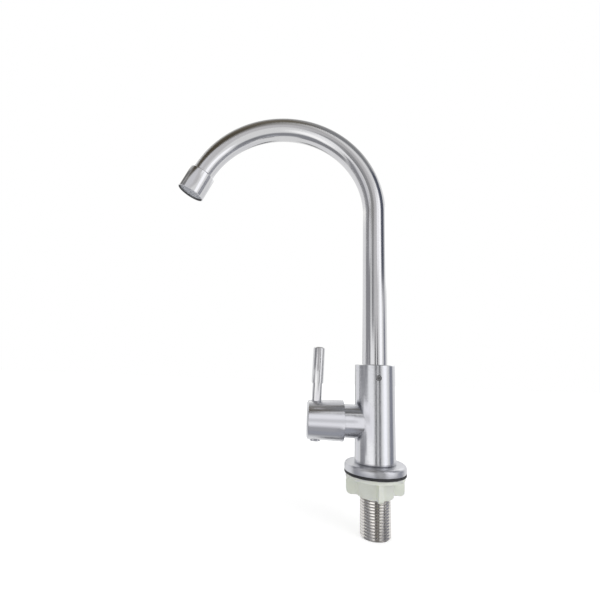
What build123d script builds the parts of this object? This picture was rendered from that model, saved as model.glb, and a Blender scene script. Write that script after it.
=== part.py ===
from build123d import *
import os
from math import cos, radians, sin

# Single-lever cold water faucet with a swivelling gooseneck spout.
# Millimetres. Z is the faucet's axis, pointing up, and the deck it stands on is at Z = 0.
# The valve branch points along -X, and so does the spout at rest.
# Distances along the branch are counted from the faucet's axis, and distances along
# the outlet from the end of the spout's bend.

# Gaps between pieces
JOIN_GAP = 0.02
RUN_GAP = 0.05
SLIP_GAP = 0.12
END_GAP = 0.1

# Deck gasket and base flange
GASKET_T = 1.8
FLANGE_D = 43.0
FLANGE_H = 5.0
FLANGE_EDGE = 2.0
FLANGE_RIM = 2.5
RECESS_DEPTH = 3.0

# Threaded shank, G 1/2
THREAD_D = 20.955
THREAD_H = 1.162
SHANK_DROP = 39.8
SHANK_BORE_D = 15.0
SHANK_GRIP = 10.0
SHANK_LEAD = 0.8

# Lock nut
NUT_H = 14.4
NUT_BRIM_D = 41.2
NUT_BRIM_T = 2.6
NUT_HUB_D = 25.4
WING_COUNT = 4
WING_SPAN = 40.4
WING_T = 3.4
WING_RISE = 0.4
WING_CORNER = 3.0

# Body and its waterways
BODY_D = 28.9
BODY_H = 67.6
BODY_EDGE = 0.5
BRANCH_RISE = 27.3
BRANCH_D = 23.4
BRANCH_END = 27.0
INLET_D = 12.0
PORT_D = 8.0
OUTLET_D = 4.6
OUTLET_SPREAD = 8.0
OUTLET_SETBACK = 1.0

# Spout tube and its lower end in the body
TUBE_D = 18.2
TUBE_WALL = 0.8
SPOUT_STRAIGHT = 120.1
BEND_R = 75.3
BEND_SWEEP = 155.0
SOCKET_WALL = 2.8
SLEEVE_WALL = 2.23
SLEEVE_LIP = 1.0
BUSH_H = 2.4
O_RING_T = 1.6
O_RING_RISE = 4.0
O_RING_STEP = 5.0

# Set screw that holds the spout
SET_SCREW_D = 4.0
SET_SCREW_DROP = 9.1
SET_SCREW_SINK = 0.7
DOG_D = 2.4
DOG_REACH = 0.9
HEX_KEY = 2.0
HEX_KEY_DEPTH = 1.8
LOCK_GROOVE_W = 3.2
LOCK_GROOVE_DEPTH = 1.2

# Aerator
TAIL = 8.5
NIPPLE_WALL = 0.8
NIPPLE_START = 0.8
NIPPLE_LIP = 1.5
AERATOR_WALL = 1.05
AERATOR_L = 19.5
AERATOR_EDGE = 0.9
MOUTH_WALL = 0.7
MOUTH_DEPTH = 1.1
LIP_T = 1.6
LIP_REACH = 0.45
WASHER_T = 1.6
INSERT_WALL = 2.1
DIFFUSER_T = 1.2
DIFFUSER_HOLE_D = 2.0
DIFFUSER_RING_D = 9.0
DIFFUSER_HOLES = 8
SCREEN_T = 0.6
SCREEN_RIM = 0.8
SCREEN_PITCH = 2.0
SCREEN_WIRE = 0.6

# Ceramic quarter-turn valve
SEAT_DISTANCE = 8.0
VALVE_BORE_D = 18.6
BARREL_D = 16.6
CHAMBER_D = 14.0
SEAL_T = 2.0
SEAL_PROUD = 0.4
DISC_T = 3.0
DISC_HUB_D = 3.0
DISC_RIM = 1.2
PORT_ANGLE = 80.0
FOOT_T = 3.2
FOOT_W = 5.0
KEY_W = 2.2
KEY_DEPTH = 1.2
WINDOW_ANGLE = 80.0
COLLAR_STEP = 0.6
COLLAR_RING_STEP = 1.2
HEX_FLATS = 19.0
HEX_T = 5.0
BOSS_D = 15.0
STOP_T = 2.2
STOP_HUB_D = 9.8
STOP_LUG_D = 12.0
STOP_LUG_ANGLE = 45.0
STOP_SLACK_ANGLE = 1.0
TURN_ANGLE = 90.0
SPINDLE_D = 8.0
SPINDLE_SQUARE = 5.6
SPINDLE_RING_STEP = 3.0
CLIP_T = 1.0
CLIP_D = 12.6
CLIP_GROOVE = 0.5
CLIP_GAP_ANGLE = 70.0

# Handle cap and lever
CAP_OVERLAP = 4.0
CAP_L = 26.5
CAP_OPEN_D = 28.6
CAP_END_D = 26.9
CAP_EDGE = 1.2
CAP_GAP = 0.5
CAP_FLOOR_GAP = 1.0
CAP_END_WALL = 4.0
LEVER_SETBACK = 6.6
LEVER_LEAN = 1.5
STEM_D = 7.4
STEM_SINK = 1.6
STUD_D = 6.0
GRIP_D = 8.5
GRIP_START = 11.4
GRIP_TAPER = 1.5
LEVER_TOP = 38.4
LEVER_EDGE = 0.8
GRUB_D = 5.0
GRUB_L = 5.0
PLUG_D = 8.0
PLUG_T = 2.6
PLUG_PROUD = 0.9

# Levels on the faucet's axis
BODY_FOOT = GASKET_T + FLANGE_H
BODY_TOP = BODY_FOOT + BODY_H
BRANCH_Z = BODY_FOOT + BRANCH_RISE
SOCKET_FLOOR = BRANCH_Z + VALVE_BORE_D / 2 + SOCKET_WALL
SLEEVE_FOOT = SOCKET_FLOOR + END_GAP
TUBE_FOOT = SLEEVE_FOOT + SLEEVE_LIP
BUSH_FOOT = BODY_TOP - BUSH_H
SET_SCREW_Z = BODY_TOP - SET_SCREW_DROP
BEND_Z = BODY_TOP + SPOUT_STRAIGHT

# Radii shared by mating pieces
THREAD_R = THREAD_D / 2
NECK_R = (THREAD_D - THREAD_H) / 2
DECK_HOLE_R = THREAD_R + SLIP_GAP
RECESS_R = FLANGE_D / 2 - FLANGE_RIM
TUBE_R = TUBE_D / 2
TUBE_BORE_R = TUBE_R - TUBE_WALL
SLEEVE_BORE_R = TUBE_R + JOIN_GAP
SLEEVE_R = SLEEVE_BORE_R + SLEEVE_WALL
SOCKET_R = SLEEVE_R + RUN_GAP
SPOUT_RING_R = SLEEVE_R - O_RING_T / 2
NIPPLE_R = TUBE_R + NIPPLE_WALL
HOUSING_BORE_R = NIPPLE_R + RUN_GAP
HOUSING_R = HOUSING_BORE_R + AERATOR_WALL
INSERT_R = HOUSING_BORE_R - SLIP_GAP
LIP_R = HOUSING_BORE_R - LIP_REACH
INSERT_TIP_R = LIP_R - SLIP_GAP
INSERT_BORE_R = INSERT_TIP_R - INSERT_WALL
SCREEN_R = INSERT_TIP_R - INSERT_WALL / 2
VALVE_BORE_R = VALVE_BORE_D / 2
COLLAR_R = VALVE_BORE_R - JOIN_GAP
CHAMBER_R = CHAMBER_D / 2
DISC_R = CHAMBER_R - RUN_GAP
SPINDLE_R = SPINDLE_D / 2
SPINDLE_BORE_R = SPINDLE_R + RUN_GAP
STOP_HUB_R = STOP_HUB_D / 2
STOP_LUG_R = STOP_LUG_D / 2
CAVITY_R = BRANCH_D / 2 + CAP_GAP
PLUG_R = PLUG_D / 2

# Distances along the outlet
TUBE_END = TAIL
NIPPLE_END = TUBE_END + NIPPLE_LIP
WASHER_END = NIPPLE_END + WASHER_T
LIP_END = AERATOR_L - MOUTH_DEPTH
LIP_START = LIP_END - LIP_T
SCREEN_START = LIP_END - SCREEN_T

# Distances along the branch
BARREL_START = SEAT_DISTANCE + SEAL_PROUD
FIXED_START = SEAT_DISTANCE + SEAL_T
MOVING_START = FIXED_START + DISC_T + RUN_GAP
FOOT_START = MOVING_START + DISC_T
FOOT_END = FOOT_START + FOOT_T
SHOULDER = FOOT_END + END_GAP
COLLAR_START = SHOULDER + COLLAR_STEP
COLLAR_RING = COLLAR_START + COLLAR_RING_STEP + O_RING_T / 2
SPINDLE_RING = SHOULDER + SPINDLE_RING_STEP
HEX_END = BRANCH_END + HEX_T
BOSS_END = HEX_END + STOP_T
CLIP_START = BOSS_END + RUN_GAP
CLIP_END = CLIP_START + CLIP_T
CAP_FLOOR = CLIP_END + CAP_FLOOR_GAP
CAP_START = BRANCH_END - CAP_OVERLAP
CAP_END = CAP_START + CAP_L
SPINDLE_END = CAP_END - CAP_END_WALL
LEVER_DISTANCE = CAP_END - LEVER_SETBACK

# Distances along the lever, from the branch's axis
CAP_TAPER = (CAP_OPEN_D - CAP_END_D) / 2 / CAP_L
CAP_TOP = CAP_END_D / 2 + CAP_TAPER * LEVER_SETBACK
STEM_FOOT = CAP_TOP - STEM_SINK
STUD_FOOT = SPINDLE_SQUARE / 2 + END_GAP
PLUG_FOOT = CAP_TOP + PLUG_PROUD - PLUG_T

# Working planes: Z runs along the branch, the outlet, the lever, the grub screw and the set screw
BRANCH = Plane(origin=(0, 0, BRANCH_Z), x_dir=(0, 0, 1), z_dir=(-1, 0, 0))
SWEEP = radians(BEND_SWEEP)
OUTLET = Plane(
    origin=(-BEND_R * (1 - cos(SWEEP)), 0, BEND_Z + BEND_R * sin(SWEEP)),
    x_dir=(0, 1, 0),
    z_dir=(-sin(SWEEP), 0, cos(SWEEP)),
)
LEAN = radians(LEVER_LEAN)
LEVER = Plane(
    origin=(-LEVER_DISTANCE, 0, BRANCH_Z), x_dir=(0, 1, 0), z_dir=(sin(LEAN), 0, cos(LEAN))
)
UNDERSIDE = Plane(origin=(-LEVER_DISTANCE, 0, BRANCH_Z), x_dir=(0, 1, 0), z_dir=(0, 0, -1))
SET_SCREW = Plane(origin=(0, 0, SET_SCREW_Z), x_dir=(1, 0, 0), z_dir=(0, -1, 0))


def turned(profile, plane=Plane.XY, angle=360.0, turn=0.0):
    """A solid turned about a plane's Z axis from the (radius, height) corners of its profile."""
    outline = Polyline(*[(radius, 0, height) for radius, height in profile], close=True)
    solid = revolve(make_face(outline), Axis.Z, revolution_arc=angle)
    return plane.location * (Rot(0, 0, turn) * solid)


def pipe(outer, inner, low, high, plane=Plane.XY, angle=360.0, turn=0.0):
    """A tube between two heights, a rod where the inner radius is 0, or a sector of either."""
    corners = [(inner, low), (outer, low), (outer, high), (inner, high)]
    return turned(corners, plane, angle, turn)


def o_ring(radius, height, plane=Plane.XY):
    """A ring of round section at a height along a plane's Z axis."""
    return plane.location * (Pos(0, 0, height) * Torus(radius, O_RING_T / 2))


def o_ring_groove(outer, radius, height, plane=Plane.XY):
    """The square groove that an O-ring of that centre-line radius lies in."""
    half = O_RING_T / 2 + RUN_GAP
    return pipe(outer, radius - half, height - half, height + half, plane)


def hex_socket(low, high, plane):
    """The hexagon that a key fits, between two heights."""
    prism = extrude(RegularPolygon(HEX_KEY / 2, 6, major_radius=False), high - low)
    return plane.location * (Pos(0, 0, low) * prism)


def circle_size(edge):
    """Radius of a round edge."""
    return edge.radius


# Deck fixing


def threaded_shank():
    """Hollow shank. The thread is at its full diameter below the nut and at its pitch diameter in it."""
    bore = SHANK_BORE_D / 2
    return turned(
        [
            (bore, -SHANK_DROP),
            (THREAD_R - SHANK_LEAD, -SHANK_DROP),
            (THREAD_R, -SHANK_DROP + SHANK_LEAD),
            (THREAD_R, -NUT_H),
            (NECK_R, -NUT_H),
            (NECK_R, BODY_FOOT + SHANK_GRIP),
            (bore, BODY_FOOT + SHANK_GRIP),
        ]
    )


def base_flange():
    """Dished flange with a round shoulder under the body, open below for the gasket."""
    outer = FLANGE_D / 2
    roof = GASKET_T + RECESS_DEPTH
    flange = turned(
        [
            (DECK_HOLE_R, roof),
            (RECESS_R, roof),
            (RECESS_R, GASKET_T),
            (outer, GASKET_T),
            (outer, BODY_FOOT),
            (DECK_HOLE_R, BODY_FOOT),
        ]
    )
    top_rims = flange.edges().filter_by(GeomType.CIRCLE).sort_by(Axis.Z)[-2:]
    return fillet(top_rims.sort_by(circle_size)[-1], FLANGE_EDGE)


def deck_gasket():
    """Rubber gasket that fills the flange's recess and stands proud of it on the deck."""
    outer = FLANGE_D / 2
    plug = RECESS_R - SLIP_GAP
    return turned(
        [
            (DECK_HOLE_R, 0),
            (outer, 0),
            (outer, GASKET_T),
            (plug, GASKET_T),
            (plug, GASKET_T + RECESS_DEPTH),
            (DECK_HOLE_R, GASKET_T + RECESS_DEPTH),
        ]
    )


def lock_nut():
    """Plastic nut with a brim and finger wings, tight under the gasket."""
    bore = THREAD_R + SLIP_GAP
    hub = NUT_HUB_D / 2
    brim = NUT_BRIM_D / 2
    nut = turned(
        [
            (bore, -NUT_H),
            (hub, -NUT_H),
            (hub, -NUT_BRIM_T),
            (brim, -NUT_BRIM_T),
            (brim, 0),
            (bore, 0),
        ]
    )
    wing_low = -NUT_H + WING_RISE
    wing_reach = WING_SPAN / 2 - (bore + hub) / 2
    wing_rise = -NUT_BRIM_T / 2 - wing_low
    wing = Box(wing_reach, WING_T, wing_rise, align=(Align.MAX, Align.CENTER, Align.MIN))
    wing = Pos(WING_SPAN / 2, 0, wing_low) * wing
    outer_edges = wing.edges().filter_by(Axis.Y).sort_by(Axis.X)[-2:]
    wing = fillet(outer_edges.sort_by(Axis.Z)[0], WING_CORNER)
    for index in range(WING_COUNT):
        nut += Rot(0, 0, 360 / WING_COUNT * index) * wing
    return nut


# Body


def faucet_body():
    """Body with its valve branch, bored for the spout, the shank, the valve and the water."""
    body = pipe(BODY_D / 2, 0, BODY_FOOT, BODY_TOP)
    body = chamfer(body.edges().filter_by(GeomType.CIRCLE), BODY_EDGE)
    body += pipe(BRANCH_D / 2, 0, 0, BRANCH_END, BRANCH)
    body -= pipe(SOCKET_R, 0, SOCKET_FLOOR, BODY_TOP)
    body -= pipe(NECK_R + JOIN_GAP, 0, BODY_FOOT, BODY_FOOT + SHANK_GRIP)
    body -= pipe(INLET_D / 2, 0, BODY_FOOT, BRANCH_Z + PORT_D / 2)
    body -= pipe(PORT_D / 2, 0, 0, SEAT_DISTANCE, BRANCH)
    body -= pipe(VALVE_BORE_R, 0, SEAT_DISTANCE, BRANCH_END, BRANCH)
    outlet_x = -SEAT_DISTANCE - OUTLET_SETBACK
    outlet_low = BRANCH_Z + VALVE_BORE_R - OUTLET_D / 2
    for side in (-1, 1):
        hole = pipe(OUTLET_D / 2, 0, outlet_low, SOCKET_FLOOR)
        body -= Pos(outlet_x, side * OUTLET_SPREAD / 2, 0) * hole
    body -= pipe(SET_SCREW_D / 2 + JOIN_GAP, 0, 0, BODY_D / 2, SET_SCREW)
    return body


def spout_set_screw():
    """Grub screw in the body whose dog point runs in the spout's groove."""
    head = BODY_D / 2 - SET_SCREW_SINK
    screw = turned(
        [
            (0, SOCKET_R - DOG_REACH),
            (DOG_D / 2, SOCKET_R - DOG_REACH),
            (DOG_D / 2, SOCKET_R + END_GAP),
            (SET_SCREW_D / 2, SOCKET_R + END_GAP),
            (SET_SCREW_D / 2, head),
            (0, head),
        ],
        SET_SCREW,
    )
    return screw - hex_socket(head - HEX_KEY_DEPTH, head, SET_SCREW)


# Spout


def spout_tube():
    """Gooseneck tube: straight rise, one round bend and a short straight tail."""
    section = Circle(TUBE_R) - Circle(TUBE_BORE_R)
    rise = Pos(0, 0, TUBE_FOOT) * extrude(section, BEND_Z - TUBE_FOOT)
    bend_axis = Axis((-BEND_R, 0, BEND_Z), (0, -1, 0))
    bend = revolve(Pos(0, 0, BEND_Z) * section, bend_axis, revolution_arc=BEND_SWEEP)
    tail = OUTLET.location * extrude(section, TUBE_END)
    return rise + bend + tail


def spout_end_sleeve():
    """Sleeve brazed on the tube's foot, with two seal grooves and a groove for the set screw."""
    sleeve = turned(
        [
            (TUBE_BORE_R, SLEEVE_FOOT),
            (SLEEVE_R, SLEEVE_FOOT),
            (SLEEVE_R, BUSH_FOOT),
            (SLEEVE_BORE_R, BUSH_FOOT),
            (SLEEVE_BORE_R, TUBE_FOOT),
            (TUBE_BORE_R, TUBE_FOOT),
        ]
    )
    half_groove = LOCK_GROOVE_W / 2
    sleeve -= pipe(
        SLEEVE_R,
        SLEEVE_R - LOCK_GROOVE_DEPTH,
        SET_SCREW_Z - half_groove,
        SET_SCREW_Z + half_groove,
    )
    for height in spout_ring_heights():
        sleeve -= o_ring_groove(SLEEVE_R, SPOUT_RING_R, height)
    return sleeve


def spout_ring_heights():
    """Heights of the two O-rings on the spout's sleeve."""
    low = SLEEVE_FOOT + O_RING_RISE
    return (low, low + O_RING_STEP)


def spout_o_rings():
    """The two O-rings that seal the spout in the body."""
    low, high = spout_ring_heights()
    return o_ring(SPOUT_RING_R, low) + o_ring(SPOUT_RING_R, high)


def spout_bush():
    """Plastic guide ring round the tube at the mouth of the body."""
    return pipe(SLEEVE_R, SLEEVE_BORE_R, BUSH_FOOT, BODY_TOP)


# Aerator


def outlet_nipple():
    """Threaded nipple brazed on the tube's end."""
    return turned(
        [
            (SLEEVE_BORE_R, NIPPLE_START),
            (NIPPLE_R, NIPPLE_START),
            (NIPPLE_R, NIPPLE_END),
            (TUBE_BORE_R, NIPPLE_END),
            (TUBE_BORE_R, TUBE_END),
            (SLEEVE_BORE_R, TUBE_END),
        ],
        OUTLET,
    )


def aerator_housing():
    """Outer shell of the aerator, with a lip set back in its mouth."""
    shell = turned(
        [
            (HOUSING_BORE_R, 0),
            (HOUSING_R, 0),
            (HOUSING_R, AERATOR_L),
            (HOUSING_R - MOUTH_WALL, AERATOR_L),
            (HOUSING_R - MOUTH_WALL, LIP_END),
            (LIP_R, LIP_END),
            (LIP_R, LIP_START),
            (HOUSING_BORE_R, LIP_START),
        ],
        OUTLET,
    )
    top_rims = shell.edges().filter_by(GeomType.CIRCLE).sort_by(outlet_depth)[:2]
    return fillet(top_rims.sort_by(circle_size)[-1], AERATOR_EDGE)


def outlet_depth(edge):
    """Distance of an edge along the outlet."""
    return OUTLET.to_local_coords(edge.center()).Z


def aerator_washer():
    """Rubber washer between the nipple and the insert."""
    return pipe(INSERT_R, INSERT_BORE_R, NIPPLE_END, WASHER_END, OUTLET)


def aerator_insert():
    """Plastic basket with a drilled diffuser plate and a seat for the screen."""
    plate_low = WASHER_END + DIFFUSER_T
    basket = turned(
        [
            (0, WASHER_END),
            (INSERT_R, WASHER_END),
            (INSERT_R, LIP_START - RUN_GAP),
            (INSERT_TIP_R, LIP_START - RUN_GAP),
            (INSERT_TIP_R, LIP_END),
            (SCREEN_R + JOIN_GAP, LIP_END),
            (SCREEN_R + JOIN_GAP, SCREEN_START),
            (INSERT_BORE_R, SCREEN_START),
            (INSERT_BORE_R, plate_low),
            (0, plate_low),
        ],
        OUTLET,
    )
    hole = Pos(DIFFUSER_RING_D / 2, 0, 0) * pipe(DIFFUSER_HOLE_D / 2, 0, WASHER_END, plate_low)
    for index in range(DIFFUSER_HOLES):
        basket -= OUTLET.location * (Rot(0, 0, 360 / DIFFUSER_HOLES * index) * hole)
    return basket


def aerator_screen():
    """Wire screen in the aerator's mouth: a rim filled with a square mesh."""
    disc = Circle(SCREEN_R)
    clear = SCREEN_R - SCREEN_RIM
    gap = SCREEN_PITCH - SCREEN_WIRE
    steps = int(clear // SCREEN_PITCH)
    gaps = [
        Pos(column * SCREEN_PITCH, row * SCREEN_PITCH) * Rectangle(gap, gap)
        for column in range(-steps, steps + 1)
        for row in range(-steps, steps + 1)
        if (abs(column) + 0.5) ** 2 + (abs(row) + 0.5) ** 2 < (clear / SCREEN_PITCH) ** 2
    ]
    mesh = extrude(disc - gaps, SCREEN_T)
    return OUTLET.location * (Pos(0, 0, SCREEN_START) * mesh)


# Valve


def valve_seat_seal():
    """Rubber ring between the valve and its seat in the body."""
    return pipe(CHAMBER_R - JOIN_GAP, PORT_D / 2, SEAT_DISTANCE, FIXED_START, BRANCH)


def ported_disc(start, turn):
    """Ceramic disc with two ports opposite each other, a hub and a rim."""
    disc = pipe(DISC_R, 0, start, start + DISC_T, BRANCH)
    for side in (0, 180):
        port_turn = turn + side - PORT_ANGLE / 2
        disc -= pipe(
            DISC_R - DISC_RIM, DISC_HUB_D / 2, start, start + DISC_T, BRANCH, PORT_ANGLE, port_turn
        )
    return disc


def fixed_ceramic_disc():
    """Disc held in the housing, its ports up and down."""
    return ported_disc(FIXED_START, 0)


def moving_ceramic_disc():
    """Disc turned by the spindle: its ports are a quarter turn away when the valve is shut."""
    disc = ported_disc(MOVING_START, TURN_ANGLE)
    return disc - drive_key(KEY_W + 2 * RUN_GAP, FOOT_START - KEY_DEPTH - RUN_GAP, FOOT_START)


def drive_key(width, low, high):
    """Cross key between the spindle's foot and the moving disc, upright with the lever."""
    bar = Box(2 * DISC_R, width, high - low, align=(Align.CENTER, Align.CENTER, Align.MIN))
    return BRANCH.location * ((Pos(0, 0, low) * bar) & pipe(DISC_R - DISC_RIM, 0, low, high))


def valve_spindle():
    """Spindle with a foot bar and key that turn the moving disc, and a square that takes the cap."""
    foot = Box(2 * DISC_R, FOOT_W, FOOT_T, align=(Align.CENTER, Align.CENTER, Align.MIN))
    foot = (Pos(0, 0, FOOT_START) * foot) & pipe(DISC_R, 0, FOOT_START, FOOT_END)
    square = extrude(Rectangle(SPINDLE_SQUARE, SPINDLE_SQUARE), SPINDLE_END - CLIP_END)
    spindle = BRANCH.location * (foot + Pos(0, 0, CLIP_END) * square)
    spindle += drive_key(KEY_W, FOOT_START - KEY_DEPTH, FOOT_START)
    spindle += pipe(SPINDLE_R, 0, FOOT_END, CLIP_END, BRANCH)
    spindle -= pipe(SPINDLE_R, SPINDLE_R - CLIP_GROOVE, CLIP_START, CLIP_END, BRANCH)
    return spindle - o_ring_groove(SPINDLE_R, SPINDLE_R - O_RING_T / 2, SPINDLE_RING, BRANCH)


def spindle_o_ring():
    """O-ring that seals the spindle in the housing."""
    return o_ring(SPINDLE_R - O_RING_T / 2, SPINDLE_RING, BRANCH)


def valve_housing():
    """Brass housing: windowed barrel, collar in the branch, hexagon and a boss with a stop recess."""
    barrel = BARREL_D / 2
    housing = turned(
        [
            (CHAMBER_R, BARREL_START),
            (barrel, BARREL_START),
            (barrel, COLLAR_START),
            (COLLAR_R, COLLAR_START),
            (COLLAR_R, BRANCH_END),
            (BOSS_D / 2, BRANCH_END),
            (BOSS_D / 2, BOSS_END),
            (SPINDLE_BORE_R, BOSS_END),
            (SPINDLE_BORE_R, SHOULDER),
            (CHAMBER_R, SHOULDER),
        ],
        BRANCH,
    )
    hexagon = extrude(RegularPolygon(HEX_FLATS / 2, 6, major_radius=False), HEX_T)
    housing += BRANCH.location * (Pos(0, 0, BRANCH_END) * hexagon) - pipe(
        BOSS_D / 2, 0, BRANCH_END, HEX_END, BRANCH
    )
    for side in (90, 270):
        window_turn = side - WINDOW_ANGLE / 2
        housing -= pipe(barrel, CHAMBER_R, FOOT_START, FOOT_END, BRANCH, WINDOW_ANGLE, window_turn)
    housing -= o_ring_groove(COLLAR_R, COLLAR_R - O_RING_T / 2, COLLAR_RING, BRANCH)
    recess_angle = STOP_LUG_ANGLE + TURN_ANGLE + 2 * STOP_SLACK_ANGLE
    recess_turn = -TURN_ANGLE - STOP_LUG_ANGLE / 2 - STOP_SLACK_ANGLE
    housing -= pipe(STOP_HUB_R + SLIP_GAP, 0, HEX_END, BOSS_END, BRANCH)
    housing -= pipe(STOP_LUG_R + SLIP_GAP, 0, HEX_END, BOSS_END, BRANCH, recess_angle, recess_turn)
    return housing


def housing_o_ring():
    """O-ring that seals the housing in the branch."""
    return o_ring(COLLAR_R - O_RING_T / 2, COLLAR_RING, BRANCH)


def stop_ring():
    """Ring on the spindle whose lug meets the housing at shut and at full flow."""
    ring = pipe(STOP_HUB_R, SPINDLE_R + JOIN_GAP, HEX_END + RUN_GAP, BOSS_END, BRANCH)
    lug = pipe(
        STOP_LUG_R,
        SPINDLE_R + JOIN_GAP,
        HEX_END + RUN_GAP,
        BOSS_END,
        BRANCH,
        STOP_LUG_ANGLE,
        -STOP_LUG_ANGLE / 2,
    )
    return ring + lug


def spindle_clip():
    """Open spring clip in the spindle's groove, over the stop ring."""
    inner = SPINDLE_R - CLIP_GROOVE + JOIN_GAP
    low = CLIP_START + JOIN_GAP
    high = CLIP_END - JOIN_GAP
    arc = 360 - CLIP_GAP_ANGLE
    return pipe(CLIP_D / 2, inner, low, high, BRANCH, arc, CLIP_GAP_ANGLE / 2)


# Handle


def handle_cap():
    """Tapered cap over the valve, square on the spindle and bored for the lever and the grub screw."""
    cap = turned(
        [
            (CAVITY_R, CAP_START),
            (CAP_OPEN_D / 2, CAP_START),
            (CAP_END_D / 2, CAP_END),
            (0, CAP_END),
            (0, CAP_FLOOR),
            (CAVITY_R, CAP_FLOOR),
        ],
        BRANCH,
    )
    rims = cap.edges().filter_by(GeomType.CIRCLE)
    cap = chamfer(rims.sort_by(Axis.X)[0], CAP_EDGE)
    socket_side = SPINDLE_SQUARE + 2 * JOIN_GAP
    socket = extrude(Rectangle(socket_side, socket_side), SPINDLE_END + END_GAP - CAP_FLOOR)
    cap -= BRANCH.location * (Pos(0, 0, CAP_FLOOR) * socket)
    cap -= pipe(STUD_D / 2 + JOIN_GAP, 0, 0, CAP_TOP, LEVER)
    cap -= pipe(STEM_D / 2 + JOIN_GAP, 0, STEM_FOOT, CAP_TOP + STEM_D, LEVER)
    cap -= pipe(GRUB_D / 2 + JOIN_GAP, 0, 0, CAP_TOP, UNDERSIDE)
    return cap - pipe(PLUG_R + JOIN_GAP, 0, PLUG_FOOT, CAP_TOP + PLUG_D, UNDERSIDE)


def lever_rod():
    """Turned lever: threaded stud, slim stem and a thicker grip with broken edges."""
    grip = GRIP_D / 2
    stem = STEM_D / 2
    grip_low = CAP_TOP + GRIP_START
    top = CAP_TOP + LEVER_TOP
    return turned(
        [
            (0, STUD_FOOT),
            (STUD_D / 2, STUD_FOOT),
            (STUD_D / 2, STEM_FOOT),
            (stem, STEM_FOOT),
            (stem, grip_low),
            (grip, grip_low + GRIP_TAPER),
            (grip, top - LEVER_EDGE),
            (grip - LEVER_EDGE, top),
            (0, top),
        ],
        LEVER,
    )


def handle_grub_screw():
    """Grub screw that grips the spindle's square from below."""
    low = SPINDLE_SQUARE / 2 + JOIN_GAP
    high = low + GRUB_L
    return pipe(GRUB_D / 2, 0, low, high, UNDERSIDE) - hex_socket(high - HEX_KEY_DEPTH, high, UNDERSIDE)


def handle_plug():
    """Plug that closes the hole over the grub screw, slightly proud of the cap."""
    plug = pipe(PLUG_R, 0, PLUG_FOOT, PLUG_FOOT + PLUG_T, UNDERSIDE)
    face = plug.edges().filter_by(GeomType.CIRCLE).sort_by(Axis.Z)[0]
    return chamfer(face, PLUG_PROUD / 2)


PIECES = (
    threaded_shank,
    base_flange,
    deck_gasket,
    lock_nut,
    faucet_body,
    spout_set_screw,
    spout_tube,
    spout_end_sleeve,
    spout_o_rings,
    spout_bush,
    outlet_nipple,
    aerator_housing,
    aerator_washer,
    aerator_insert,
    aerator_screen,
    valve_seat_seal,
    fixed_ceramic_disc,
    moving_ceramic_disc,
    valve_spindle,
    spindle_o_ring,
    valve_housing,
    housing_o_ring,
    stop_ring,
    spindle_clip,
    handle_cap,
    lever_rod,
    handle_grub_screw,
    handle_plug,
)

os.makedirs("parts", exist_ok=True)
for piece in PIECES:
    export_step(piece(), f"parts/{piece.__name__}.step")
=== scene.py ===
from math import cos, pi, radians, sin, tan

import bmesh
import bpy
from bpy.props import FloatProperty, FloatVectorProperty, IntProperty, PointerProperty
from bpy.types import Operator, Panel, PropertyGroup
from mathutils import Matrix, Vector


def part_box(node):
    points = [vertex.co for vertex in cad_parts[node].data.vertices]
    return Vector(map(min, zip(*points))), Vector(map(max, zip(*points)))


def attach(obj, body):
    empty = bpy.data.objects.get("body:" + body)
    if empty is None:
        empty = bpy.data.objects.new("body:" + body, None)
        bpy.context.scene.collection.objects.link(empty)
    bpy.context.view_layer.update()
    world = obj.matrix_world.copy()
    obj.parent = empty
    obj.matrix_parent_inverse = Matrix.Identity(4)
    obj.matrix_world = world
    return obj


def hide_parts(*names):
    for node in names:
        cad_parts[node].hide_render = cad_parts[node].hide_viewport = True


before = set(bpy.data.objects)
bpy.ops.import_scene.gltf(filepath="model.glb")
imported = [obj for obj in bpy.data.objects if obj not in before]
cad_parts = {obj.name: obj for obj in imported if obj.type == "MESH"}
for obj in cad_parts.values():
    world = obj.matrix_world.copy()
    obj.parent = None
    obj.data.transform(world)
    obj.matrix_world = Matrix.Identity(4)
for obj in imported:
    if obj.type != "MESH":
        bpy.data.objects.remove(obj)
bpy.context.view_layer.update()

bl_info = {
    "name": "Gooseneck kitchen faucet",
    "version": (1, 0, 0),
    "blender": (4, 5, 0),
    "location": "3D View > Sidebar > Faucet",
    "description": "Dresses the faucet's frame with finished pieces, materials and a studio",
    "category": "Object",
}

MM = 0.001

# How finely the pieces are modelled
TURN_SIDES = 128
THREAD_SIDES = TURN_SIDES // 2
WIRE_SIDES = 8
HEXAGON_SIDES = 6
BEND_STEPS = 124
EDGE_SEGMENTS = 3
RIM_SEGMENTS = 8
NUT_SMOOTHING = 0.5
NUT_PASSES = 6
MERGE_DISTANCE = 0.002 * MM
SMOOTH_ANGLE = radians(32)

# Spare length that is cut off again, in turns of thread, cells of the screen and metres
THREAD_START = 3.3
SPARE_TURNS = 8
SPARE_CELLS = 3
OVERCUT = MM


def middle(node):
    """Centre of a frame node's box."""
    low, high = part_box(node)
    return (low + high) / 2


def half_width(node):
    """Half of a frame node's width along Y: the radius of an upright round piece."""
    low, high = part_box(node)
    return (high.y - low.y) / 2


# Places taken from the frame
SHANK_LOW, SHANK_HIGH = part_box("threaded_shank")
NUT_LOW, NUT_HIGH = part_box("lock_nut")
GASKET_LOW, GASKET_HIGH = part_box("deck_gasket")
FLANGE_LOW, FLANGE_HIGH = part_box("base_flange")
TUBE_LOW, TUBE_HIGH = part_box("spout_tube")
CAP_LOW, CAP_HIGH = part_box("handle_cap")
PLUG_LOW, PLUG_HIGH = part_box("handle_plug")
SCREW_LOW, SCREW_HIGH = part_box("spout_set_screw")

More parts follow.
